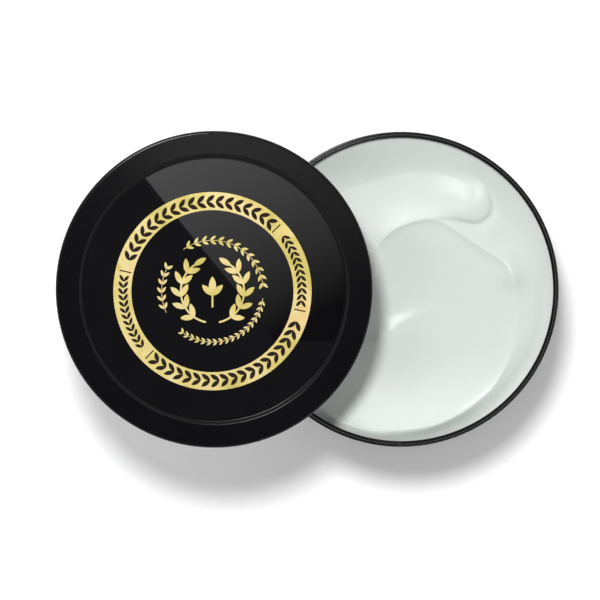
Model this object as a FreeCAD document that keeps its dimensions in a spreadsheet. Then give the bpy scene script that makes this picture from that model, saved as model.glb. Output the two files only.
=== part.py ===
import FreeCAD, Part
import math
import os
import Sketcher

# A drawn aluminium screw tin of cream with its lid held level beside and above the mouth.
# Millimetres, +Z up, origin at the centre of the ring that the tin stands on.
# Every size below is a cell of the sheet "dims"; each piece reads them by expression.

DIMENSIONS = [
    # the tin
    ("body_radius", 43.0, "outside of the tin and of the lid skirt"),
    ("body_height", 43.0, "base ring to the top of the rolled rim"),
    ("body_wall", 0.45, "sheet thickness of the tin"),
    ("heel_radius", 2.5, "outside bend between base and wall"),
    ("base_ring_inner", 35.5, "inner radius of the ring that it stands on"),
    ("base_rise", 1.1, "how far the base panel is pushed up"),
    ("neck_drop", 12.1, "rim down to the shoulder ledge"),
    ("neck_radius", 42.15, "outside of the screw neck"),
    ("shoulder_bend", 0.4, "outside bend at the shoulder"),
    ("rim_width", 0.85, "width of the rolled rim"),
    ("rim_bend", 0.38, "bend radius of the rolled rim"),
    # the screw thread
    ("thread_pitch", 3.2, "rise of the thread in one turn"),
    ("thread_turns", 2.0, "turns of thread on the neck"),
    ("thread_depth", 0.4, "thread crest above the neck"),
    ("thread_foot", 1.5, "axial width of the thread at its foot"),
    ("thread_crest", 0.6, "axial width of the thread at its crest"),
    ("thread_bury", 0.2, "how far the thread's foot is buried in the wall"),
    ("thread_start", 3.0, "shoulder ledge up to the middle of the thread's first end"),
    # the cream
    ("fill_gap", 0.05, "cream to wall"),
    ("fill_drop", 1.0, "rim down to the cream's edge"),
    ("dish_radius", 35.0, "radius of the hollow in the top of the cream"),
    ("dish_depth", 4.0, "depth of the hollow in the top of the cream"),
    # the lid
    ("lid_height", 15.0, "skirt edge to the top of the lid's ring"),
    ("lid_wall", 0.4, "sheet thickness of the lid"),
    ("lid_bend", 0.8, "outside bend between skirt and ring"),
    ("panel_outer", 36.7, "inner edge of the lid's ring"),
    ("panel_inner", 35.9, "outer edge of the recessed panel"),
    ("panel_depth", 0.8, "ring down to the recessed panel"),
    ("panel_bend", 0.3, "bend radius at the recess"),
    ("lid_turns", 1.25, "turns of thread in the skirt"),
    ("lid_thread_start", 3.4, "skirt edge up to the middle of the thread's first end"),
    ("lid_offset", 50.9, "how far the lid's axis stands to the left of the tin's"),
    ("lid_clearance", 0.3, "rim up to the skirt's edge"),
    # what the lid carries
    ("liner_radius", 42.0, "foam wad"),
    ("liner_thick", 2.0, "foam wad"),
    ("liner_bend", 0.3, "rounded edge of the foam wad"),
    ("liner_gap", 0.05, "panel to foam wad"),
    ("label_radius", 35.4, "glossy label on the panel"),
    ("label_thick", 0.15, "glossy label on the panel"),
    ("foil_thick", 0.05, "gold foil on the label"),
    ("print_across", -0.45, "the print's middle from the lid's axis, towards +X"),
    ("print_up", -0.5, "the print's middle from the lid's axis, towards +Y"),
    ("ring_outer", 26.9, "gold ring"),
    ("ring_inner", 22.0, "gold ring"),
    ("stem_radius", 8.6, "curve of each sprig's stem"),
    ("stem_width", 0.5, "width of a stem"),
    ("leaf_length", 3.9, "leaf of a sprig"),
    ("leaf_width", 1.5, "leaf of a sprig"),
    ("sprout_length", 5.2, "upright leaf of the sprout between the sprigs"),
    ("sprout_width", 2.0, "upright leaf of the sprout between the sprigs"),
    ("sprout_foot", -1.2, "where the sprout's leaves meet, from the print's middle"),
    # the sticker under the base
    ("base_label_radius", 31.0, "sticker in the recess of the base"),
    ("base_label_thick", 0.12, "sticker in the recess of the base"),
]

# plain counts and angles of the leaf motif, not sizes
LEAF_PAIRS = 5
LEAF_SPLAY = 38.0
SPRIG_FOOT_ANGLE = -78.0
SPRIG_TIP_ANGLE = 58.0
TIP_OVERLAP_ANGLE = 4.0
SPROUT_STEM = 3.2
SPROUT_SPLAY = 44.0
SPROUT_SIDE = 0.78

os.makedirs("parts", exist_ok=True)
doc = FreeCAD.newDocument("cream_jar")
sheet = doc.addObject("Spreadsheet::Sheet", "dims")
for row, (alias, size, meaning) in enumerate(DIMENSIONS, start=1):
    sheet.set(f"A{row}", meaning)
    sheet.set(f"B{row}", str(size))
    sheet.setAlias(f"B{row}", alias)
doc.recompute()

# heights that several pieces share, as expressions of the sheet
SHOULDER = "dims.body_height - dims.neck_drop"
LID_BASE = "dims.body_height + dims.lid_clearance"
PANEL_TOP = "dims.lid_height - dims.panel_depth"
LABEL_TOP = f"{PANEL_TOP} + dims.label_thick"
PRINT_ACROSS = "dims.print_across - dims.lid_offset"
NECK_BORE = "dims.neck_radius - dims.body_wall"
BODY_BORE = "dims.body_radius - dims.body_wall"
LID_BORE = "dims.body_radius - dims.lid_wall"
# a bend of 45 degrees moves the inside corner of a sheet by this share of its thickness
HALF_BEND = math.tan(math.radians(22.5))


def number(expression):
    """The present value of an expression of the sheet, as a plain number."""
    result = sheet.evalExpression(expression)
    return float(getattr(result, "Value", result))


def new_body(label):
    body = doc.addObject("PartDesign::Body", label)
    body.Label = label
    return body


def origin_plane(body, role):
    return next(item for item in body.Origin.OriginFeatures if item.Role == role)


def new_sketch(body, name, role):
    sketch = body.newObject("Sketcher::SketchObject", name)
    sketch.AttachmentSupport = [(origin_plane(body, role), "")]
    sketch.MapMode = "FlatFace"
    return sketch


def tie(sketch, vertex, direction, expression):
    """Hold a line's start at a distance from the sketch's origin, given by an expression."""
    axis = {"DistanceX": -2, "DistanceY": -1}[direction]
    if expression == "0":
        sketch.addConstraint(Sketcher.Constraint("PointOnObject", vertex, 1, axis))
        return
    held = Sketcher.Constraint(direction, -1, 1, vertex, 1, number(expression))
    index = sketch.addConstraint(held)
    sketch.setExpression(f"Constraints[{index}]", expression)


def outline(body, name, corners):
    """A closed straight-sided section on the XZ plane. A corner is (radius, height)."""
    sketch = new_sketch(body, name, "XZ_Plane")
    points = [FreeCAD.Vector(number(x), number(z), 0) for x, z in corners]
    count = len(points)
    for index in range(count):
        side = Part.LineSegment(points[index], points[(index + 1) % count])
        sketch.addGeometry(side, False)
    for index in range(count):
        joined = Sketcher.Constraint("Coincident", index, 2, (index + 1) % count, 1)
        sketch.addConstraint(joined)
    for index, (x, z) in enumerate(corners):
        tie(sketch, index, "DistanceX", x)
        tie(sketch, index, "DistanceY", z)
    return sketch


def revolve(body, sketch, name):
    turned = body.newObject("PartDesign::Revolution", name)
    turned.Profile = sketch
    turned.ReferenceAxis = (sketch, ["V_Axis"])
    turned.Angle = 360.0
    sketch.Visibility = False
    doc.recompute()
    return turned


def ring_edges(shape, rings):
    """The names of a shape's circular edges that lie at the given (radius, height) places."""
    names = []
    for radius, height in rings:
        found = [
            f"Edge{index}"
            for index, edge in enumerate(shape.Edges, start=1)
            if isinstance(edge.Curve, Part.Circle)
            and abs(edge.Curve.Radius - radius) < 1e-4
            and abs(edge.Curve.Center.z - height) < 1e-4
        ]
        if not found:
            raise RuntimeError(f"no edge at radius {radius:.3f}, height {height:.3f}")
        names += found
    return names


def round_rings(body, base, name, bend, places):
    """Fillet the circular edges at the given (radius, height) expressions."""
    rings = [(number(radius), number(height)) for radius, height in places]
    rounded = body.newObject("PartDesign::Fillet", name)
    rounded.Base = (base, ring_edges(base.Shape, rings))
    rounded.Radius = number(bend)
    rounded.setExpression("Radius", bend)
    doc.recompute()
    return rounded


def add_thread(body, name, foot, crest, start, turns):
    """Wind a rounded-off ridge round the body's axis, from foot radius to crest radius."""
    sketch = outline(
        body,
        f"{name}_section",
        [
            (foot, f"{start} - dims.thread_foot / 2"),
            (crest, f"{start} - dims.thread_crest / 2"),
            (crest, f"{start} + dims.thread_crest / 2"),
            (foot, f"{start} + dims.thread_foot / 2"),
        ],
    )
    doc.recompute()
    before = body.Tip.Shape.Volume
    ridge = body.newObject("PartDesign::AdditiveHelix", name)
    ridge.Profile = sketch
    ridge.ReferenceAxis = (sketch, ["V_Axis"])
    ridge.Mode = 1
    ridge.Angle = 0.0
    ridge.setExpression("Pitch", "dims.thread_pitch")
    ridge.setExpression("Turns", turns)
    sketch.Visibility = False
    doc.recompute()
    if ridge.Shape.Volume <= before:
        raise RuntimeError(f"{name} adds nothing")
    return ridge


def place(piece, across="0", height="0", up="0"):
    """Stand a piece at a place that follows the sheet."""
    piece.setExpression("Placement.Base.x", across)
    piece.setExpression("Placement.Base.y", up)
    piece.setExpression("Placement.Base.z", height)


def flat_disc(label, radius, thick):
    disc = doc.addObject("Part::Cylinder", label)
    disc.Label = label
    disc.setExpression("Radius", radius)
    disc.setExpression("Height", thick)
    return disc


def make_jar_body():
    """The tin: one drawn sheet with a raised base, heel, shoulder ledge, neck and rolled rim."""
    body = new_body("jar_body")
    rise_foot = "dims.base_ring_inner - dims.base_rise"
    under_rim = "dims.body_height - 2 * dims.rim_bend - 0.1"
    section = outline(
        body,
        "tin_section",
        [
            ("0", "dims.base_rise"),
            (rise_foot, "dims.base_rise"),
            ("dims.base_ring_inner", "0"),
            ("dims.body_radius", "0"),
            ("dims.body_radius", SHOULDER),
            ("dims.neck_radius", SHOULDER),
            ("dims.neck_radius", "dims.body_height"),
            ("dims.neck_radius - dims.rim_width", "dims.body_height"),
            ("dims.neck_radius - dims.rim_width", under_rim),
            (NECK_BORE, f"{under_rim} - 0.4"),
            (NECK_BORE, f"{SHOULDER} - dims.body_wall"),
            (BODY_BORE, f"{SHOULDER} - dims.body_wall"),
            (BODY_BORE, "dims.body_wall"),
            (f"dims.base_ring_inner + {HALF_BEND} * dims.body_wall", "dims.body_wall"),
            (
                f"{rise_foot} + {HALF_BEND} * dims.body_wall",
                "dims.base_rise + dims.body_wall",
            ),
            ("0", "dims.base_rise + dims.body_wall"),
        ],
    )
    shell = revolve(body, section, "tin")
    shell = round_rings(body, shell, "heel", "dims.heel_radius", [("dims.body_radius", "0")])
    shell = round_rings(
        body,
        shell,
        "heel_inside",
        "dims.heel_radius - dims.body_wall",
        [(BODY_BORE, "dims.body_wall")],
    )
    shell = round_rings(
        body, shell, "shoulder", "dims.shoulder_bend", [("dims.body_radius", SHOULDER)]
    )
    round_rings(
        body,
        shell,
        "rolled_rim",
        "dims.rim_bend",
        [
            ("dims.neck_radius", "dims.body_height"),
            ("dims.neck_radius - dims.rim_width", "dims.body_height"),
        ],
    )
    add_thread(
        body,
        "neck_thread",
        "dims.neck_radius - dims.thread_bury",
        "dims.neck_radius + dims.thread_depth",
        f"{SHOULDER} + dims.thread_start",
        "dims.thread_turns",
    )
    return body


def make_cream_fill():
    """The cream: fills the tin to just under the rim, with a shallow hollow in its top."""
    body = new_body("cream_fill")
    floor = "dims.base_rise + dims.body_wall + dims.fill_gap"
    bottom = "dims.body_wall + dims.fill_gap"
    wide = f"{BODY_BORE} - dims.fill_gap"
    narrow = f"{NECK_BORE} - dims.fill_gap"
    ledge = f"{SHOULDER} - dims.body_wall - dims.fill_gap"
    top = "dims.body_height - dims.fill_drop"
    slope_foot = f"dims.base_ring_inner + {HALF_BEND} * ({bottom})"
    slope_top = f"dims.base_ring_inner - dims.base_rise + {HALF_BEND} * ({bottom})"
    section = outline(
        body,
        "cream_section",
        [
            ("0", floor),
            (slope_top, floor),
            (slope_foot, bottom),
            (wide, bottom),
            (wide, ledge),
            (narrow, ledge),
            (narrow, top),
            ("dims.dish_radius", top),
            ("dims.dish_radius * 0.62", f"{top} - dims.dish_depth"),
            ("0", f"{top} - dims.dish_depth"),
        ],
    )
    cream = revolve(body, section, "cream")
    heel = "dims.heel_radius - dims.body_wall - dims.fill_gap"
    cream = round_rings(body, cream, "cream_heel", heel, [(wide, bottom)])
    round_rings(
        body,
        cream,
        "cream_hollow",
        "dims.dish_depth",
        [
            ("dims.dish_radius", top),
            ("dims.dish_radius * 0.62", f"{top} - dims.dish_depth"),
        ],
    )
    return body


def make_base_label():
    """The sticker in the recess under the base."""
    disc = flat_disc("base_label", "dims.base_label_radius", "dims.base_label_thick")
    place(disc, height="dims.base_rise - dims.base_label_thick")
    return disc


def make_lid_shell():
    """The lid: one drawn sheet with a recessed panel and the thread rolled into its skirt."""
    body = new_body("lid_shell")
    inside = f"{HALF_BEND} * dims.lid_wall"
    section = outline(
        body,
        "lid_section",
        [
            ("dims.body_radius", "0"),
            ("dims.body_radius", "dims.lid_height"),
            ("dims.panel_outer", "dims.lid_height"),
            ("dims.panel_inner", PANEL_TOP),
            ("0", PANEL_TOP),
            ("0", f"{PANEL_TOP} - dims.lid_wall"),
            (f"dims.panel_inner + {inside}", f"{PANEL_TOP} - dims.lid_wall"),
            (f"dims.panel_outer + {inside}", "dims.lid_height - dims.lid_wall"),
            (LID_BORE, "dims.lid_height - dims.lid_wall"),
            (LID_BORE, "0"),
        ],
    )
    shell = revolve(body, section, "shell")
    shell = round_rings(
        body, shell, "crown", "dims.lid_bend", [("dims.body_radius", "dims.lid_height")]
    )
    shell = round_rings(
        body,
        shell,
        "crown_inside",
        "dims.lid_bend - dims.lid_wall",
        [(LID_BORE, "dims.lid_height - dims.lid_wall")],
    )
    round_rings(
        body,
        shell,
        "recess",
        "dims.panel_bend",
        [("dims.panel_outer", "dims.lid_height"), ("dims.panel_inner", PANEL_TOP)],
    )
    add_thread(
        body,
        "skirt_thread",
        f"{LID_BORE} + dims.thread_bury",
        f"{LID_BORE} - dims.thread_depth",
        "dims.lid_thread_start",
        "dims.lid_turns",
    )
    place(body, "-dims.lid_offset", LID_BASE)
    return body


def make_lid_liner():
    """The closed-cell foam wad that seals the lid on the rolled rim."""
    body = new_body("lid_liner")
    top = f"{PANEL_TOP} - dims.lid_wall - dims.liner_gap"
    bottom = f"{top} - dims.liner_thick"
    section = outline(
        body,
        "wad_section",
        [
            ("0", bottom),
            ("dims.liner_radius", bottom),
            ("dims.liner_radius", top),
            ("0", top),
        ],
    )
    wad = revolve(body, section, "wad")
    edges = [("dims.liner_radius", bottom), ("dims.liner_radius", top)]
    round_rings(body, wad, "wad_edge", "dims.liner_bend", edges)
    place(body, "-dims.lid_offset", LID_BASE)
    return body


def make_lid_label():
    """The glossy disc on the recessed panel."""
    disc = flat_disc("lid_label", "dims.label_radius", "dims.label_thick")
    place(disc, "-dims.lid_offset", f"{LID_BASE} + {PANEL_TOP}")
    return disc


def make_foil_ring():
    """The gold band: a washer of foil."""
    body = new_body("foil_ring")
    sketch = new_sketch(body, "band_outline", "XY_Plane")
    for index, radius in enumerate(["dims.ring_outer", "dims.ring_inner"]):
        upright = FreeCAD.Vector(0, 0, 1)
        circle = Part.Circle(FreeCAD.Vector(), upright, number(radius))
        sketch.addGeometry(circle, False)
        sketch.addConstraint(Sketcher.Constraint("Coincident", index, 3, -1, 1))
        held = sketch.addConstraint(Sketcher.Constraint("Radius", index, number(radius)))
        sketch.setExpression(f"Constraints[{held}]", radius)
    band = body.newObject("PartDesign::Pad", "band")
    band.Profile = sketch
    band.setExpression("Length", "dims.foil_thick")
    sketch.Visibility = False
    place(body, PRINT_ACROSS, f"{LID_BASE} + {LABEL_TOP}", "dims.print_up")
    return body


def leaf(length, width, thick):
    """A pointed leaf along +X from the origin: two equal arcs from tip to tip."""
    foot = FreeCAD.Vector(0, 0, 0)
    tip = FreeCAD.Vector(length, 0, 0)
    left = Part.Arc(foot, FreeCAD.Vector(length / 2, width / 2, 0), tip).toShape()
    right = Part.Arc(tip, FreeCAD.Vector(length / 2, -width / 2, 0), foot).toShape()
    return Part.Face(Part.Wire([left, right])).extrude(FreeCAD.Vector(0, 0, thick))


def sprig(thick):
    """One curved stem with leaves in pairs and a leaf at its tip, bowed round the origin."""
    stem_radius = number("dims.stem_radius")
    half_width = number("dims.stem_width") / 2
    leaf_length = number("dims.leaf_length")
    leaf_width = number("dims.leaf_width")
    upright = FreeCAD.Vector(0, 0, 1)
    sweep = SPRIG_TIP_ANGLE - SPRIG_FOOT_ANGLE
    stem = Part.makeCylinder(
        stem_radius + half_width, thick, FreeCAD.Vector(), upright, sweep
    )
    core = Part.makeCylinder(stem_radius - half_width, thick, FreeCAD.Vector(), upright)
    stem = stem.cut(core)
    stem.rotate(FreeCAD.Vector(), upright, SPRIG_FOOT_ANGLE)
    pieces = [stem]
    for pair in range(1, LEAF_PAIRS + 1):
        angle = SPRIG_FOOT_ANGLE + sweep * pair / (LEAF_PAIRS + 1)
        for side in (1, -1):
            blade = leaf(leaf_length, leaf_width, thick)
            blade.rotate(FreeCAD.Vector(), upright, angle + 90 + side * LEAF_SPLAY)
            turn = math.radians(angle)
            foot = FreeCAD.Vector(math.cos(turn), math.sin(turn), 0) * stem_radius
            blade.translate(foot)
            pieces.append(blade)
    last = leaf(leaf_length, leaf_width, thick)
    last.rotate(FreeCAD.Vector(), upright, SPRIG_TIP_ANGLE + 90)
    turn = math.radians(SPRIG_TIP_ANGLE - TIP_OVERLAP_ANGLE)
    last.translate(FreeCAD.Vector(math.cos(turn), math.sin(turn), 0) * stem_radius)
    pieces.append(last)
    return pieces[0].fuse(pieces[1:]).removeSplitter()


def sprout(thick):
    """A short straight stem with one upright leaf and a smaller leaf at each side."""
    length = number("dims.sprout_length")
    width = number("dims.sprout_width")
    stem_width = number("dims.stem_width")
    corner = FreeCAD.Vector(-stem_width / 2, -SPROUT_STEM, 0)
    pieces = [Part.makeBox(stem_width, SPROUT_STEM + stem_width, thick, corner)]
    upright = FreeCAD.Vector(0, 0, 1)
    for turn, size in ((0, 1.0), (SPROUT_SPLAY, SPROUT_SIDE), (-SPROUT_SPLAY, SPROUT_SIDE)):
        blade = leaf(length * size, width * size, thick)
        blade.rotate(FreeCAD.Vector(), upright, 90 + turn)
        pieces.append(blade)
    motif = pieces[0].fuse(pieces[1:]).removeSplitter()
    motif.translate(FreeCAD.Vector(0, number("dims.sprout_foot"), 0))
    return motif


def make_foil_emblem():
    """The gold centre motif: two facing leaf sprigs and a sprout between them, drawn in loops."""
    emblem = doc.addObject("Part::Feature", "foil_emblem")
    emblem.Label = "foil_emblem"
    right = sprig(number("dims.foil_thick"))
    left = right.mirror(FreeCAD.Vector(), FreeCAD.Vector(1, 0, 0))
    emblem.Shape = Part.Compound([right, left, sprout(number("dims.foil_thick"))])
    place(emblem, PRINT_ACROSS, f"{LID_BASE} + {LABEL_TOP}", "dims.print_up")
    return emblem


def problems(pieces):
    """What is wrong with the document or with any piece, as sentences."""
    found = [
        f"{item.Label} is {state}"
        for item in doc.Objects
        for state in item.State
        if state in ("Invalid", "Error")
    ]
    for piece in pieces:
        if piece.Shape.isNull():
            found.append(f"{piece.Label} is empty")
        elif not piece.Shape.isValid():
            found.append(f"{piece.Label} has a bad shape")
        elif not piece.Shape.Solids:
            found.append(f"{piece.Label} has no solid")
    return found


pieces = [
    make_jar_body(),
    make_cream_fill(),
    make_base_label(),
    make_lid_shell(),
    make_lid_liner(),
    make_lid_label(),
    make_foil_ring(),
    make_foil_emblem(),
]
doc.recompute()
faults = problems(pieces)
if faults:
    raise RuntimeError("; ".join(faults))
for piece in pieces:
    piece.Shape.exportStep(f"parts/{piece.Label}.step")
    box = piece.Shape.BoundBox
    print(
        f"{piece.Label}: {len(piece.Shape.Solids)} solids, {piece.Shape.Volume:.1f} mm3,"
        f" x {box.XMin:.2f} to {box.XMax:.2f}, z {box.ZMin:.2f} to {box.ZMax:.2f}"
    )
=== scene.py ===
import math

import bmesh
import bpy
import numpy as np
from mathutils import Matrix, Vector


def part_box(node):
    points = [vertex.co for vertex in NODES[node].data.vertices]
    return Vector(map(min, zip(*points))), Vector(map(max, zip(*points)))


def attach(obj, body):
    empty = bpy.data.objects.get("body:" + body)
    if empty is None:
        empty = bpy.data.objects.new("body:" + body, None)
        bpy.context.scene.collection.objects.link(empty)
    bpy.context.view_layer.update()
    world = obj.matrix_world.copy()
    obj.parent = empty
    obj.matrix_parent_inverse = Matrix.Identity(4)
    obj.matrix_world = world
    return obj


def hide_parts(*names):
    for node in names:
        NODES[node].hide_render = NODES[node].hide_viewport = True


# A black screw tin of pale cream with its lid held level over one side of the mouth.
# Metres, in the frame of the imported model. Sizes that are given in millimetres are
# multiplied by MM.

MM = 0.001

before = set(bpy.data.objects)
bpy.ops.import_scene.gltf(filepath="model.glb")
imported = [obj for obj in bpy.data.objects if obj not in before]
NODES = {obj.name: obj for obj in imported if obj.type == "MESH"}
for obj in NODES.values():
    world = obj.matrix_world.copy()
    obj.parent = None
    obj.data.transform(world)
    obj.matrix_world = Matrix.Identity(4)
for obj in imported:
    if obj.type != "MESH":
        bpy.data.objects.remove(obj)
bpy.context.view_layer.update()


def centre_of(node):
    low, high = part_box(node)
    return (low + high) / 2


RING_LOW, RING_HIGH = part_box("foil_ring")
CREAM_LOW, CREAM_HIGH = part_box("cream_fill")
PRINT_AXIS = centre_of("foil_ring").to_2d()
RIM_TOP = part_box("jar_body")[1].z


# ---------------------------------------------------------------- material helpers


def new_material(name):
    material = bpy.data.materials.new(name)
    material.use_nodes = True
    tree = material.node_tree
    tree.nodes.clear()
    output = tree.nodes.new("ShaderNodeOutputMaterial")
    shader = tree.nodes.new("ShaderNodeBsdfPrincipled")
    tree.links.new(shader.outputs["BSDF"], output.inputs["Surface"])
    return material, tree, shader


def object_coordinates(tree, scale=1.0):
    """Object coordinates in millimetres, times scale."""
    coordinates = tree.nodes.new("ShaderNodeTexCoord")
    scaled = tree.nodes.new("ShaderNodeVectorMath")
    scaled.operation = "SCALE"
    scaled.inputs["Scale"].default_value = scale / MM
    tree.links.new(coordinates.outputs["Object"], scaled.inputs[0])
    return scaled.outputs["Vector"]


def noise(tree, vector, scale, detail=3.0, roughness=0.5, distortion=0.0):
    node = tree.nodes.new("ShaderNodeTexNoise")
    node.inputs["Scale"].default_value = scale
    node.inputs["Detail"].default_value = detail
    node.inputs["Roughness"].default_value = roughness
    node.inputs["Distortion"].default_value = distortion
    tree.links.new(vector, node.inputs["Vector"])
    return node.outputs["Fac"]


def span(tree, value, low, high, from_low=0.3, from_high=0.7):
    """Map a noise value onto low..high."""
    node = tree.nodes.new("ShaderNodeMapRange")
    node.inputs["From Min"].default_value = from_low
    node.inputs["From Max"].default_value = from_high
    node.inputs["To Min"].default_value = low
    node.inputs["To Max"].default_value = high
    tree.links.new(value, node.inputs["Value"])
    return node.outputs["Result"]


def ramp(tree, value, stops):
    """A colour ramp. stops: (position, (r, g, b)) pairs."""
    node = tree.nodes.new("ShaderNodeValToRGB")
    elements = node.color_ramp.elements
    while len(elements) < len(stops):
        elements.new(0.5)
    for element, (position, colour) in zip(elements, stops):
        element.position = position
        element.color = (*colour, 1.0)
    tree.links.new(value, node.inputs["Fac"])
    return node.outputs["Color"]


def bump(tree, value, depth_mm, strength=1.0):
    node = tree.nodes.new("ShaderNodeBump")
    node.inputs["Strength"].default_value = strength
    node.inputs["Distance"].default_value = depth_mm * MM
    tree.links.new(value, node.inputs["Height"])
    return node.outputs["Normal"]


def paint(node_name, material):
    """Give a CAD node's every material slot this material."""
    mesh = NODES[node_name].data
    if not mesh.materials:
        mesh.materials.append(material)
    for index in range(len(mesh.materials)):
        mesh.materials[index] = material


# ---------------------------------------------------------------- materials


def satin_lacquer(name, roughness):
    """Black satin stoving lacquer: near black, with a fine orange peel."""
    material, tree, shader = new_material(name)
    place = object_coordinates(tree)
    cloud = noise(tree, place, 0.06, 2.0)
    tone = ramp(tree, cloud, [(0.3, (0.0016, 0.0015, 0.0020)), (0.7, (0.0028, 0.0026, 0.0034))])
    tree.links.new(tone, shader.inputs["Base Color"])
    grain = noise(tree, place, 2.2, 4.0, 0.6)
    tree.links.new(
        span(tree, grain, roughness - 0.03, roughness + 0.04), shader.inputs["Roughness"]
    )
    tree.links.new(bump(tree, grain, 0.004), shader.inputs["Normal"])
    shader.inputs["Specular IOR Level"].default_value = 0.2
    return material


def gloss_label_film():
    """Glossy laminated film: black, almost a mirror, with a trace of waviness."""
    material, tree, shader = new_material("gloss_label_film")
    place = object_coordinates(tree)
    cloud = noise(tree, place, 0.05, 2.0)
    tone = ramp(tree, cloud, [(0.3, (0.0030, 0.0028, 0.0032)), (0.7, (0.0045, 0.0042, 0.0048))])
    tree.links.new(tone, shader.inputs["Base Color"])
    wave = noise(tree, place, 0.10, 2.0)
    tree.links.new(span(tree, wave, 0.012, 0.022), shader.inputs["Roughness"])
    tree.links.new(bump(tree, wave, 0.004), shader.inputs["Normal"])
    shader.inputs["Specular IOR Level"].default_value = 0.5
    return material


def gold_foil():
    """Pale hot-stamped gold: the colour drifts between lemon, straw and a warm orange."""
    material, tree, shader = new_material("gold_foil")
    place = object_coordinates(tree)
    drift = noise(tree, place, 0.11, 3.0, 0.55, 0.4)
    tone = ramp(
        tree,
        drift,
        [
            (0.32, (0.50, 0.42, 0.10)),
            (0.45, (0.63, 0.51, 0.165)),
            (0.56, (0.68, 0.57, 0.26)),
            (0.70, (0.70, 0.47, 0.17)),
        ],
    )
    tree.links.new(tone, shader.inputs["Base Color"])
    shader.inputs["Metallic"].default_value = 0.45
    crease = noise(tree, place, 1.6, 4.0, 0.6)
    tree.links.new(span(tree, crease, 0.36, 0.50), shader.inputs["Roughness"])
    tree.links.new(bump(tree, crease, 0.01), shader.inputs["Normal"])
    return material


def foil_inlay():
    """Where the foil leaves the label bare: matt black."""
    material, tree, shader = new_material("foil_inlay")
    place = object_coordinates(tree)
    grain = noise(tree, place, 1.5, 3.0)
    tone = ramp(tree, grain, [(0.3, (0.008, 0.004, 0.002)), (0.7, (0.020, 0.011, 0.005))])
    tree.links.new(tone, shader.inputs["Base Color"])
    tree.links.new(span(tree, grain, 0.5, 0.65), shader.inputs["Roughness"])
    shader.inputs["Specular IOR Level"].default_value = 0.12
    return material


def cream():
    """Pale mint-white cream: soft, slightly wet, light passes a little way into it."""
    material, tree, shader = new_material("cream")
    place = object_coordinates(tree)
    cloud = noise(tree, place, 0.05, 2.0)
    tone = ramp(tree, cloud, [(0.3, (0.655, 0.705, 0.670)), (0.7, (0.695, 0.73, 0.70))])
    tree.links.new(tone, shader.inputs["Base Color"])
    fine = noise(tree, place, 0.9, 3.0)
    tree.links.new(span(tree, fine, 0.32, 0.42), shader.inputs["Roughness"])
    tree.links.new(bump(tree, fine, 0.02), shader.inputs["Normal"])
    shader.inputs["Subsurface Weight"].default_value = 0.35
    shader.inputs["Subsurface Radius"].default_value = (1.0, 1.0, 0.9)
    shader.inputs["Subsurface Scale"].default_value = 1.2 * MM
    shader.inputs["Specular IOR Level"].default_value = 0.35
    return material


def foam():
    """Closed-cell polyethylene foam: off-white with fine cells."""
    material, tree, shader = new_material("foam")
    place = object_coordinates(tree)
    cells = tree.nodes.new("ShaderNodeTexVoronoi")
    cells.inputs["Scale"].default_value = 1.9
    tree.links.new(place, cells.inputs["Vector"])
    tone = ramp(
        tree, cells.outputs["Distance"], [(0.0, (0.84, 0.84, 0.81)), (0.6, (0.72, 0.72, 0.69))]
    )
    tree.links.new(tone, shader.inputs["Base Color"])
    tree.links.new(bump(tree, cells.outputs["Distance"], 0.06), shader.inputs["Normal"])
    haze = noise(tree, place, 0.5)
    tree.links.new(span(tree, haze, 0.62, 0.8), shader.inputs["Roughness"])
    return material


def base_sticker():
    """Matt film sticker in a plain warm white."""
    material, tree, shader = new_material("base_sticker")
    place = object_coordinates(tree)
    fibre = noise(tree, place, 0.8, 4.0, 0.6)
    tone = ramp(tree, fibre, [(0.3, (0.74, 0.73, 0.69)), (0.7, (0.80, 0.79, 0.75))])
    tree.links.new(tone, shader.inputs["Base Color"])
    tree.links.new(span(tree, fibre, 0.5, 0.62), shader.inputs["Roughness"])
    tree.links.new(bump(tree, fibre, 0.01), shader.inputs["Normal"])
    return material


LACQUER = satin_lacquer("satin_lacquer", 0.19)
LABEL_FILM = gloss_label_film()
GOLD = gold_foil()
INLAY = foil_inlay()
CREAM = cream()

paint("jar_body", LACQUER)
paint("lid_shell", LACQUER)
paint("lid_label", LABEL_FILM)
paint("foil_ring", GOLD)
paint("foil_emblem", GOLD)
paint("lid_liner", foam())
paint("base_label", base_sticker())


# ---------------------------------------------------------------- cream swirl

# All in millimetres from the tin's axis; heights are from the rim, so they are negative.
SCOOP_EDGE = [
    (-6.5, 6.0), (-6.2, 11.5), (-3.2, 15.2), (2.0, 17.9), (6.5, 18.9), (10.5, 18.4),
    (14.5, 16.2), (19.8, 12.6), (24.5, 9.6), (28.8, 6.6), (30.9, 0.5), (31.3, -8.0),
    (30.8, -15.0), (28.4, -20.8), (25.2, -26.2), (21.0, -30.2), (15.5, -34.0), (8.5, -37.0),
    (-1.0, -38.4), (-10.0, -38.0), (-20.0, -33.5), (-27.0, -24.0), (-24.0, -12.0),
    (-14.0, -4.0),
]
SCOOP_MIDDLE = (6.0, -8.0)
FOLD_LINE = [(-14.0, -17.5), (-5.5, -13.8), (-1.0, -10.2), (5.0, -7.6), (14.0, -6.6)]
# a rope of cream that ends in a rounded nub: (x, y), radius, rise
DOLLOP = [
    ((-7.0, 20.5), 5.0, 0.0),
    ((1.0, 22.6), 5.2, 0.0),
    ((8.0, 24.0), 5.2, 0.12),
    ((14.0, 24.2), 5.2, 0.65),
    ((17.6, 23.5), 5.0, 1.08),
    ((19.8, 22.9), 4.8, 1.15),
]
# the rope's uphill side is this much wider, and melts into the cream above it
UPHILL = (-0.34, 0.94)
UPHILL_SPREAD = 0.6
# the bump where the scoop's edge turns down the right side: (x, y), rise, radius
RIDGE_END, RIDGE_RISE, RIDGE_RADIUS = (30.9, 4.0), 1.1, 3.4
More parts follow.
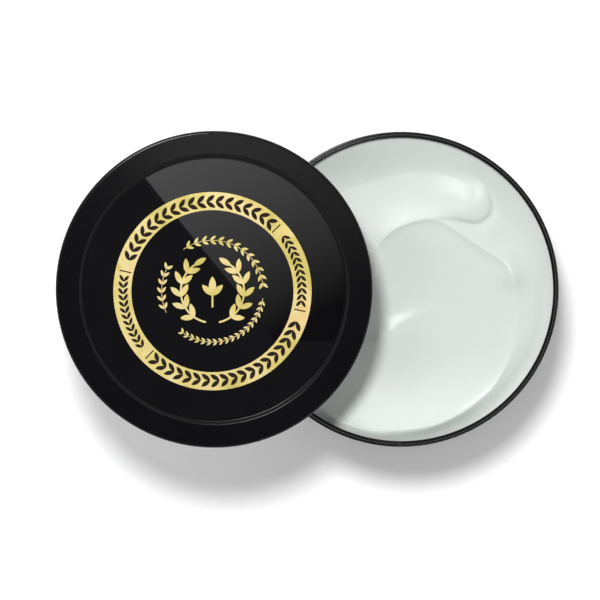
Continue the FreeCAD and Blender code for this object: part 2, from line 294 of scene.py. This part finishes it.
# the fold's rise, and how far it reaches to its left and right
FOLD_RISE, FOLD_LEFT, FOLD_RIGHT = 0.8, 2.4, 9.0
WAVE_RISE, WAVE_LENGTH = 0.16, 26.0
# The cream never stands higher than this, so that it stays clear of the lid.
HIGHEST = -0.9

# These change with direction: a level, then (degrees, width in degrees, change) peaks.
# Round the scoop's middle: its lip, how fast the lip dies away inside, the trough outside,
# and how far the bank between lip and trough runs.
LIP = (0.1, [(112, 30, 0.3), (46, 22, 0.4)])
LIP_RUN = (0.5, [(40, 26, 0.3)])
TROUGH = (-3.3, [(122, 40, -1.2), (44, 24, -0.1), (-65, 45, -0.55)])
BANK_RUN = (2.4, [(122, 40, 7.0), (44, 20, -0.9), (-75, 40, -0.7)])
# Round the tin's axis: how high the cream climbs the wall, and over how broad a band.
CLIMB = (0.5, [(105, 52, 3.3), (165, 40, 0.6), (38, 26, 1.0)])
CLIMB_WIDTH = (3.0, [(105, 46, 8.0), (170, 40, 3.0), (40, 26, 4.0)])

# how much narrower the cream is in the neck, and how far below the rim the neck ends
NECK_STEP = 0.85
LEDGE_DEPTH = 12.6
HEEL = 2.0
HEEL_STEPS = 6
RINGS = 170
SPOKES = 540


def smooth_curve(points, closed, steps=14):
    """Points along a Catmull-Rom curve through the given points."""
    control = [np.array(p, float) for p in points]
    count = len(control)
    spans = count if closed else count - 1
    curve = []
    for index in range(spans):
        if closed:
            a, b, c, d = (control[(index + k - 1) % count] for k in range(4))
        else:
            a, b, c, d = (control[min(max(index + k - 1, 0), count - 1)] for k in range(4))
        for step in range(steps):
            t = step / steps
            curve.append(
                0.5
                * (
                    2 * b
                    + (c - a) * t
                    + (2 * a - 5 * b + 4 * c - d) * t * t
                    + (3 * b - a - 3 * c + d) * t * t * t
                )
            )
    if not closed:
        curve.append(control[-1])
    return np.array(curve)


def distance_to(curve, x, y, closed):
    """For each (x, y): distance to a polyline, how far along it (0..1), and which side (1 left)."""
    ends = np.roll(curve, -1, axis=0) if closed else curve[1:]
    starts = curve if closed else curve[:-1]
    best = np.full(x.shape, 1e9)
    along = np.zeros(x.shape)
    side = np.zeros(x.shape)
    for index, ((ax, ay), (bx, by)) in enumerate(zip(starts, ends)):
        dx, dy = bx - ax, by - ay
        t = np.clip(((x - ax) * dx + (y - ay) * dy) / max(dx * dx + dy * dy, 1e-12), 0, 1)
        gap = np.hypot(x - ax - t * dx, y - ay - t * dy)
        nearer = gap < best
        best = np.where(nearer, gap, best)
        along = np.where(nearer, (index + t) / len(starts), along)
        side = np.where(nearer, np.sign(dx * (y - ay) - dy * (x - ax)), side)
    return best, along, side


def inside(curve, x, y):
    """Which points lie inside a closed polyline."""
    result = np.zeros(x.shape, bool)
    for (ax, ay), (bx, by) in zip(curve, np.roll(curve, -1, axis=0)):
        crosses = (ay > y) != (by > y)
        at = ax + (y - ay) * (bx - ax) / np.where(by == ay, 1e-12, by - ay)
        result ^= crosses & (x < at)
    return result


def signed_distance(curve, x, y):
    """Distance to a closed polyline, negative inside it."""
    gap, _, _ = distance_to(curve, x, y, True)
    return np.where(inside(curve, x, y), -gap, gap)


def smooth(value):
    """0 below 0, 1 above 1, eased between."""
    t = np.clip(value, 0, 1)
    return t * t * (3 - 2 * t)


def soft_waves(x, y, rng, size, count=9):
    """Low smooth unevenness: a few sine waves in random directions."""
    total = np.zeros(x.shape)
    for _ in range(count):
        angle, phase = rng.uniform(0, 2 * math.pi, 2)
        length = size * rng.uniform(0.7, 1.6)
        along = x * math.cos(angle) + y * math.sin(angle)
        total += np.sin(2 * math.pi * along / length + phase)
    return total / count


def around(x, y, middle, level, peaks):
    """A value that changes smoothly with direction: (angle in degrees, width, change) peaks."""
    angle = np.arctan2(y - middle[1], x - middle[0])
    total = np.full(x.shape, float(level))
    for peak, width, change in peaks:
        off = (angle - math.radians(peak) + math.pi) % (2 * math.pi) - math.pi
        total += change * np.exp(-((off / math.radians(width)) ** 2))
    return total


def scoop_floor(x, y):
    """The bottom of the scooped hollow: lowest a little below the middle, rising to each side."""
    up = 1.1 * smooth((y + 10.0) / 31.0)
    down = 3.1 * np.clip((-4.0 - y) / 34.5, 0, 1.3) ** 3.4
    right = 0.9 * np.clip((x - 12.0) / 20.0, 0, 1.3) ** 3.0
    return -4.0 + up + down + right


def dollop_rise(x, y):
    """A soft rope of cream along a curve, higher towards its rounded end. It melts away uphill."""
    samples = smooth_curve([(*spot, size, rise) for spot, size, rise in DOLLOP], False, 50)
    nearest = np.full(x.shape, 9.0)
    rise_here = np.zeros(x.shape)
    uphill_here = np.zeros(x.shape)
    for px, py, size, rise in samples:
        dx, dy = x - px, y - py
        gap = np.hypot(dx, dy) + 1e-9
        uphill = np.clip((UPHILL[0] * dx + UPHILL[1] * dy) / gap, 0, 1) ** 2
        gap = gap / (size * (1 + UPHILL_SPREAD * uphill))
        nearer = gap < nearest
        rise_here = np.where(nearer, rise, rise_here)
        uphill_here = np.where(nearer, uphill, uphill_here)
        nearest = np.minimum(nearest, gap)
    inner = np.clip(nearest, 0, 1)
    round_top = np.sqrt(1 - inner**3)
    bell = (1 - inner**2) ** 2
    crease = 0.1 * np.exp(-(((nearest - 1.15) / 0.25) ** 2))
    return rise_here * (round_top * (1 - uphill_here) + bell * uphill_here - crease)


def swirl_height(x, y, radius):
    """Height of the cream's top below the rim, in millimetres."""
    rng = np.random.default_rng(7)
    to_wall = (radius[-1] - radius)[:, None] + 0 * x
    scoop = signed_distance(smooth_curve(SCOOP_EDGE, True), x, y)
    floor_level = scoop_floor(x, y)

    # the scoop's edge stands a little above its floor, most at the upper right
    lip = around(x, y, SCOOP_MIDDLE, *LIP)
    lip_run = around(x, y, SCOOP_MIDDLE, *LIP_RUN)
    within = floor_level + lip * np.exp(-(np.sqrt(scoop**2 + 0.04) - 0.2) / lip_run)
    # outside, the edge falls away to a trough: a long slope at the top, a short one at the foot
    trough = around(x, y, SCOOP_MIDDLE, *TROUGH)
    bank_run = around(x, y, SCOOP_MIDDLE, *BANK_RUN)
    bank = np.exp(-(np.sqrt(scoop**2 + 0.16) - 0.4) / bank_run)
    outside = (floor_level + lip) * bank + trough * (1 - bank)
    height = np.where(scoop < 0, within, outside)

    # the cream climbs the wall, over a broad band at the top
    climb = around(x, y, (0, 0), *CLIMB)
    climb_width = around(x, y, (0, 0), *CLIMB_WIDTH)
    height = height + climb * np.clip(1 - to_wall / climb_width, 0, 1) ** 1.5

    height = height + dollop_rise(x, y)
    ridge_gap = np.hypot(x - RIDGE_END[0], y - RIDGE_END[1]) / RIDGE_RADIUS
    height = height + np.where(scoop < 0, 1.0, bank) * RIDGE_RISE * np.exp(-(ridge_gap**2))
    fold, part, side = distance_to(smooth_curve(FOLD_LINE, False), x, y, False)
    fade = smooth(part * 3.5) * smooth((1 - part) * 1.6)
    fold_width = np.where(side > 0, FOLD_LEFT, FOLD_RIGHT)
    height = height + FOLD_RISE * np.exp(-((fold / fold_width) ** 2)) * fade
    height = height + WAVE_RISE * soft_waves(x, y, rng, WAVE_LENGTH)
    # ease off below the highest level instead of cutting it flat
    return HIGHEST - np.logaddexp(0, (HIGHEST - height) * 4) / 4


def make_cream():
    """A closed lathe-like solid whose top is the swirl. Its sides follow the tin's inside."""
    outer = (CREAM_HIGH.x - CREAM_LOW.x) / 2 / MM
    narrow = outer - NECK_STEP
    floor = CREAM_LOW.z / MM
    ledge = RIM_TOP / MM - LEDGE_DEPTH
    radius = narrow * (np.arange(1, RINGS + 1) / RINGS) ** 0.85
    angle = np.arange(SPOKES) * 2 * math.pi / SPOKES
    x = radius[:, None] * np.cos(angle)
    y = radius[:, None] * np.sin(angle)
    top = RIM_TOP / MM + swirl_height(x, y, radius)
    middle = float(top[0].mean())

    bm = bmesh.new()
    rows = [
        [bm.verts.new((x[i, j] * MM, y[i, j] * MM, top[i, j] * MM)) for j in range(SPOKES)]
        for i in range(RINGS)
    ]
    sides = [(narrow, ledge), (outer, ledge)]
    for step in range(HEEL_STEPS + 1):
        turn = math.pi / 2 * step / HEEL_STEPS
        sides.append((outer - HEEL + HEEL * math.cos(turn), floor + HEEL - HEEL * math.sin(turn)))
    for side_radius, height in sides:
        rows.append(
            [
                bm.verts.new(
                    (side_radius * math.cos(a) * MM, side_radius * math.sin(a) * MM, height * MM)
                )
                for a in angle
            ]
        )
    for inner, beyond in zip(rows, rows[1:]):
        for j in range(SPOKES):
            k = (j + 1) % SPOKES
            bm.faces.new((inner[j], beyond[j], beyond[k], inner[k]))
    hub = bm.verts.new((0, 0, middle * MM))
    foot = bm.verts.new((0, 0, floor * MM))
    for j in range(SPOKES):
        k = (j + 1) % SPOKES
        bm.faces.new((hub, rows[0][j], rows[0][k]))
        bm.faces.new((foot, rows[-1][k], rows[-1][j]))
    return finish_mesh(bm, "cream_swirl", CREAM)


def finish_mesh(bm, name, material, smooth_shading=True):
    """Turn a bmesh into an object with outward faces."""
    bmesh.ops.recalc_face_normals(bm, faces=bm.faces)
    mesh = bpy.data.meshes.new(name)
    bm.to_mesh(mesh)
    bm.free()
    for polygon in mesh.polygons:
        polygon.use_smooth = smooth_shading
    mesh.materials.append(material)
    piece = bpy.data.objects.new(name, mesh)
    bpy.context.scene.collection.objects.link(piece)
    return piece


swirl = make_cream()
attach(swirl, "jar")
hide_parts("cream_fill")


# ---------------------------------------------------------------- label ornament

FOIL_TOP = RING_HIGH.z
RING_OUTER = (RING_HIGH.x - RING_LOW.x) / 2 / MM
FOIL_BAND = 5.3
RING_MIDDLE = RING_OUTER - FOIL_BAND / 2


def leaf_outline(length, width, steps=8):
    """A pointed leaf along +X from the origin, as (x, y) points round its edge."""
    half_length, half_width = length / 2, width / 2
    radius = (half_length**2 + half_width**2) / (2 * half_width)
    reach = math.asin(half_length / radius)
    upper = []
    for step in range(steps):
        turn = -reach + 2 * reach * step / steps
        upper.append(
            (half_length + radius * math.sin(turn), radius * math.cos(turn) - radius + half_width)
        )
    lower = [(length - px, -py) for px, py in upper]
    return upper + lower


def add_plate(bm, outline_points, place, low, high):
    """A thin closed plate: an outline in millimetres, moved by a 2D placement, between two heights."""
    rings = []
    for height in (low, high):
        ring = []
        for px, py in outline_points:
            spot = place @ Vector((px * MM, py * MM, 0))
            ring.append(bm.verts.new((spot.x, spot.y, height)))
        rings.append(ring)
    count = len(outline_points)
    bm.faces.new(rings[1])
    bm.faces.new(list(reversed(rings[0])))
    for j in range(count):
        k = (j + 1) % count
        bm.faces.new((rings[0][j], rings[0][k], rings[1][k], rings[1][j]))


def on_ring(radius, angle, turn):
    """A placement on a circle round the print's middle. turn is added to the tangent's direction."""
    centre = Matrix.Translation((PRINT_AXIS.x, PRINT_AXIS.y, 0))
    spot = Matrix.Translation(
        (radius * math.cos(angle) * MM, radius * math.sin(angle) * MM, 0)
    )
    return centre @ spot @ Matrix.Rotation(angle + math.pi / 2 + turn, 4, "Z")


def arc_band(bm, radius, width, start, end, low, high, steps):
    """A thin band along a circle round the print's middle."""
    edges = []
    for side in (-width / 2, width / 2):
        line = []
        for step in range(steps + 1):
            angle = start + (end - start) * step / steps
            reach = (radius + side) * MM
            line.append((reach * math.cos(angle), reach * math.sin(angle)))
        edges.append(line)
    outline_points = [(px / MM, py / MM) for px, py in edges[0] + list(reversed(edges[1]))]
    add_plate(bm, outline_points, Matrix.Translation((PRINT_AXIS.x, PRINT_AXIS.y, 0)), low, high)


def leaf_chain(bm, radius, start, end, count, length, width, splay, low, high):
    """A running spray along an arc: leaves in pairs."""
    for index in range(count):
        angle = start + (end - start) * (index + 0.5) / count
        heading = 0 if end > start else math.pi
        for side in (1, -1):
            place = on_ring(radius, angle, heading + side * splay)
            add_plate(bm, leaf_outline(length, width), place, low, high)


def bars(bm, angles, low, high):
    """Short bars that stand across the gold ring."""
    half_width, half_height = 0.17, 1.6
    for angle in angles:
        corners = [
            (-half_width, -half_height),
            (half_width, -half_height),
            (half_width, half_height),
            (-half_width, half_height),
        ]
        add_plate(bm, corners, on_ring(RING_MIDDLE, angle, 0), low, high)


# four stretches of ornament between four bars, like the panels of a running border
BAR_ANGLES = [math.radians(a) for a in (44.5, 167.3, 225.2, 347.6)]
BAR_MARGIN = math.radians(4.5)
INLAY_LOW = FOIL_TOP - 0.02 * MM
INLAY_HIGH = FOIL_TOP + 0.02 * MM
BORDER_SPLAY = math.radians(36)


def make_ring_ornament():
    bm = bmesh.new()
    big = dict(count=19, length=2.9, width=1.2)
    small = dict(count=12, length=2.2, width=0.85)
    stretches = [
        (BAR_ANGLES[0], BAR_ANGLES[1], big),
        (BAR_ANGLES[1], BAR_ANGLES[2], small),
        (BAR_ANGLES[2], BAR_ANGLES[3], big),
        (BAR_ANGLES[3], BAR_ANGLES[0] + 2 * math.pi, small),
    ]
    for start, end, style in stretches:
        leaf_chain(
            bm,
            RING_MIDDLE,
            end - BAR_MARGIN,
            start + BAR_MARGIN,
            splay=BORDER_SPLAY,
            low=INLAY_LOW,
            high=INLAY_HIGH,
            **style,
        )
    bars(bm, BAR_ANGLES, INLAY_LOW, INLAY_HIGH)
    return finish_mesh(bm, "ring_ornament", INLAY, smooth_shading=False)


# thin gold garlands on a circle between the sprigs and the ring: (from, to, pairs, leaf, width)
GARLAND_RADIUS = 13.8
GARLANDS = [(5, 125, 13, 2.0, 0.72), (150, 205, 6, 2.0, 0.72), (232, 352, 18, 1.5, 0.55)]


def make_garlands():
    bm = bmesh.new()
    low, high = FOIL_TOP - 0.06 * MM, FOIL_TOP
    for start, end, count, length, width in GARLANDS:
        start, end = math.radians(start), math.radians(end)
        leaf_chain(bm, GARLAND_RADIUS, end, start, count, length, width, BORDER_SPLAY, low, high)
        arc_band(bm, GARLAND_RADIUS, 0.16, start, end, low, high, 48)
    return finish_mesh(bm, "label_garlands", GOLD, smooth_shading=False)


ornament = make_ring_ornament()
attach(ornament, "lid")
garlands = make_garlands()
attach(garlands, "lid")


# ---------------------------------------------------------------- studio

CAMERA_LENS = 1000.0
SENSOR = 36.0
VIEW_WIDTH = 163.3 * MM
VIEW_CENTRE = Vector((-27.6 * MM, -2.9 * MM, RIM_TOP))
CAMERA_DISTANCE = VIEW_WIDTH * CAMERA_LENS / SENSOR


def make_camera():
    data = bpy.data.cameras.new("camera")
    data.lens = CAMERA_LENS
    data.sensor_width = SENSOR
    camera = bpy.data.objects.new("camera", data)
    camera.location = VIEW_CENTRE + Vector((0, 0, CAMERA_DISTANCE))
    data.clip_start = CAMERA_DISTANCE * 0.1
    data.clip_end = CAMERA_DISTANCE * 4
    bpy.context.scene.collection.objects.link(camera)
    bpy.context.scene.camera = camera


def make_floor():
    bm = bmesh.new()
    bmesh.ops.create_circle(bm, cap_ends=True, radius=6.0, segments=96)
    material, tree, shader = new_material("floor_paper")
    shader.inputs["Base Color"].default_value = (0.93, 0.93, 0.93, 1)
    shader.inputs["Roughness"].default_value = 0.9
    shader.inputs["Specular IOR Level"].default_value = 0.1
    # a light table: a little light comes up through the paper, so shadows stay grey
    shader.inputs["Emission Color"].default_value = (1, 1, 1, 1)
    shader.inputs["Emission Strength"].default_value = 0.12
    floor = finish_mesh(bm, "floor", material, smooth_shading=False)
    return floor


def add_area(name, direction, distance, size, power):
    """A round soft light aimed at the tin."""
    data = bpy.data.lights.new(name, "AREA")
    data.shape = "DISK"
    data.size = size
    data.energy = power
    light = bpy.data.objects.new(name, data)
    aim = Vector(direction).normalized()
    light.location = VIEW_CENTRE + aim * distance
    light.rotation_mode = "QUATERNION"
    light.rotation_quaternion = aim.to_track_quat("Z", "Y")
    light.visible_camera = False
    bpy.context.scene.collection.objects.link(light)
    return light


def make_world():
    """Even light from all round, dimmer overhead."""
    world = bpy.data.worlds.new("studio")
    bpy.context.scene.world = world
    world.use_nodes = True
    tree = world.node_tree
    tree.nodes.clear()
    output = tree.nodes.new("ShaderNodeOutputWorld")
    background = tree.nodes.new("ShaderNodeBackground")
    coordinates = tree.nodes.new("ShaderNodeTexCoord")
    parts = tree.nodes.new("ShaderNodeSeparateXYZ")
    tree.links.new(coordinates.outputs["Generated"], parts.inputs["Vector"])
    tone = ramp(
        tree,
        parts.outputs["Z"],
        [(0.0, (0.9, 0.9, 0.9)), (0.5, (0.85, 0.85, 0.85)), (0.94, (0.09, 0.09, 0.10))],
    )
    tree.links.new(tone, background.inputs["Color"])
    background.inputs["Strength"].default_value = 1.02
    tree.links.new(background.outputs["Background"], output.inputs["Surface"])


CARD_HEIGHT = 0.22
# the card's outline where it shows in the label, in millimetres: two long slanting edges
CARD_CORNERS = [
    (-72.5, 34.0), (-46.2, 1.6), (-34.0, -14.0), (20.0, -14.0), (20.0, 60.0), (-72.5, 60.0),
]


def make_reflection_card():
    """A graded panel straight above, which the glossy label mirrors."""
    spread = 1 + CARD_HEIGHT / CAMERA_DISTANCE

    def above(x_mm, y_mm):
        spot = Vector((x_mm * MM, y_mm * MM)) - VIEW_CENTRE.to_2d()
        spot = spot * spread + VIEW_CENTRE.to_2d()
        return (spot.x, spot.y, CARD_HEIGHT)

    bm = bmesh.new()
    bm.faces.new([bm.verts.new(above(*corner)) for corner in CARD_CORNERS])
    material = bpy.data.materials.new("reflection_card")
    material.use_nodes = True
    tree = material.node_tree
    tree.nodes.clear()
    output = tree.nodes.new("ShaderNodeOutputMaterial")
    glow = tree.nodes.new("ShaderNodeEmission")
    coordinates = tree.nodes.new("ShaderNodeTexCoord")
    slope = tree.nodes.new("ShaderNodeVectorMath")
    slope.operation = "DOT_PRODUCT"
    slope.inputs[1].default_value = (-0.45, 0.89, 0)
    tree.links.new(coordinates.outputs["Object"], slope.inputs[0])
    level = tree.nodes.new("ShaderNodeMapRange")
    level.inputs["From Min"].default_value = 0.004
    level.inputs["From Max"].default_value = 0.062
    level.inputs["To Min"].default_value = 0.0
    level.inputs["To Max"].default_value = 1.7
    tree.links.new(slope.outputs["Value"], level.inputs["Value"])
    tree.links.new(level.outputs["Result"], glow.inputs["Strength"])
    tree.links.new(glow.outputs["Emission"], output.inputs["Surface"])
    card = finish_mesh(bm, "reflection_card", material, smooth_shading=False)
    card.visible_camera = False
    card.visible_shadow = False
    card.visible_diffuse = False


def light_only(light, receiver, wanted):
    """Let a light reach nothing but one piece, or everything but it."""
    group = bpy.data.collections.new(light.name + "_reach")
    group.objects.link(receiver)
    group.collection_objects[0].light_linking.link_state = "INCLUDE" if wanted else "EXCLUDE"
    light.light_linking.receiver_collection = group


KEY_DIRECTION = (-0.165, 0.385, 0.908)
FLOOR_KEY_DIRECTION = (-0.07, 0.26, 1.0)

make_camera()
floor = make_floor()
make_world()
make_reflection_card()
# the floor has its own, steeper key, so that its shadows stay short
light_only(add_area("key", KEY_DIRECTION, 3.0, 0.62, 63.0), floor, False)
light_only(add_area("floor_key", FLOOR_KEY_DIRECTION, 3.0, 0.55, 66.0), floor, True)
bpy.context.scene.view_settings.view_transform = "Standard"
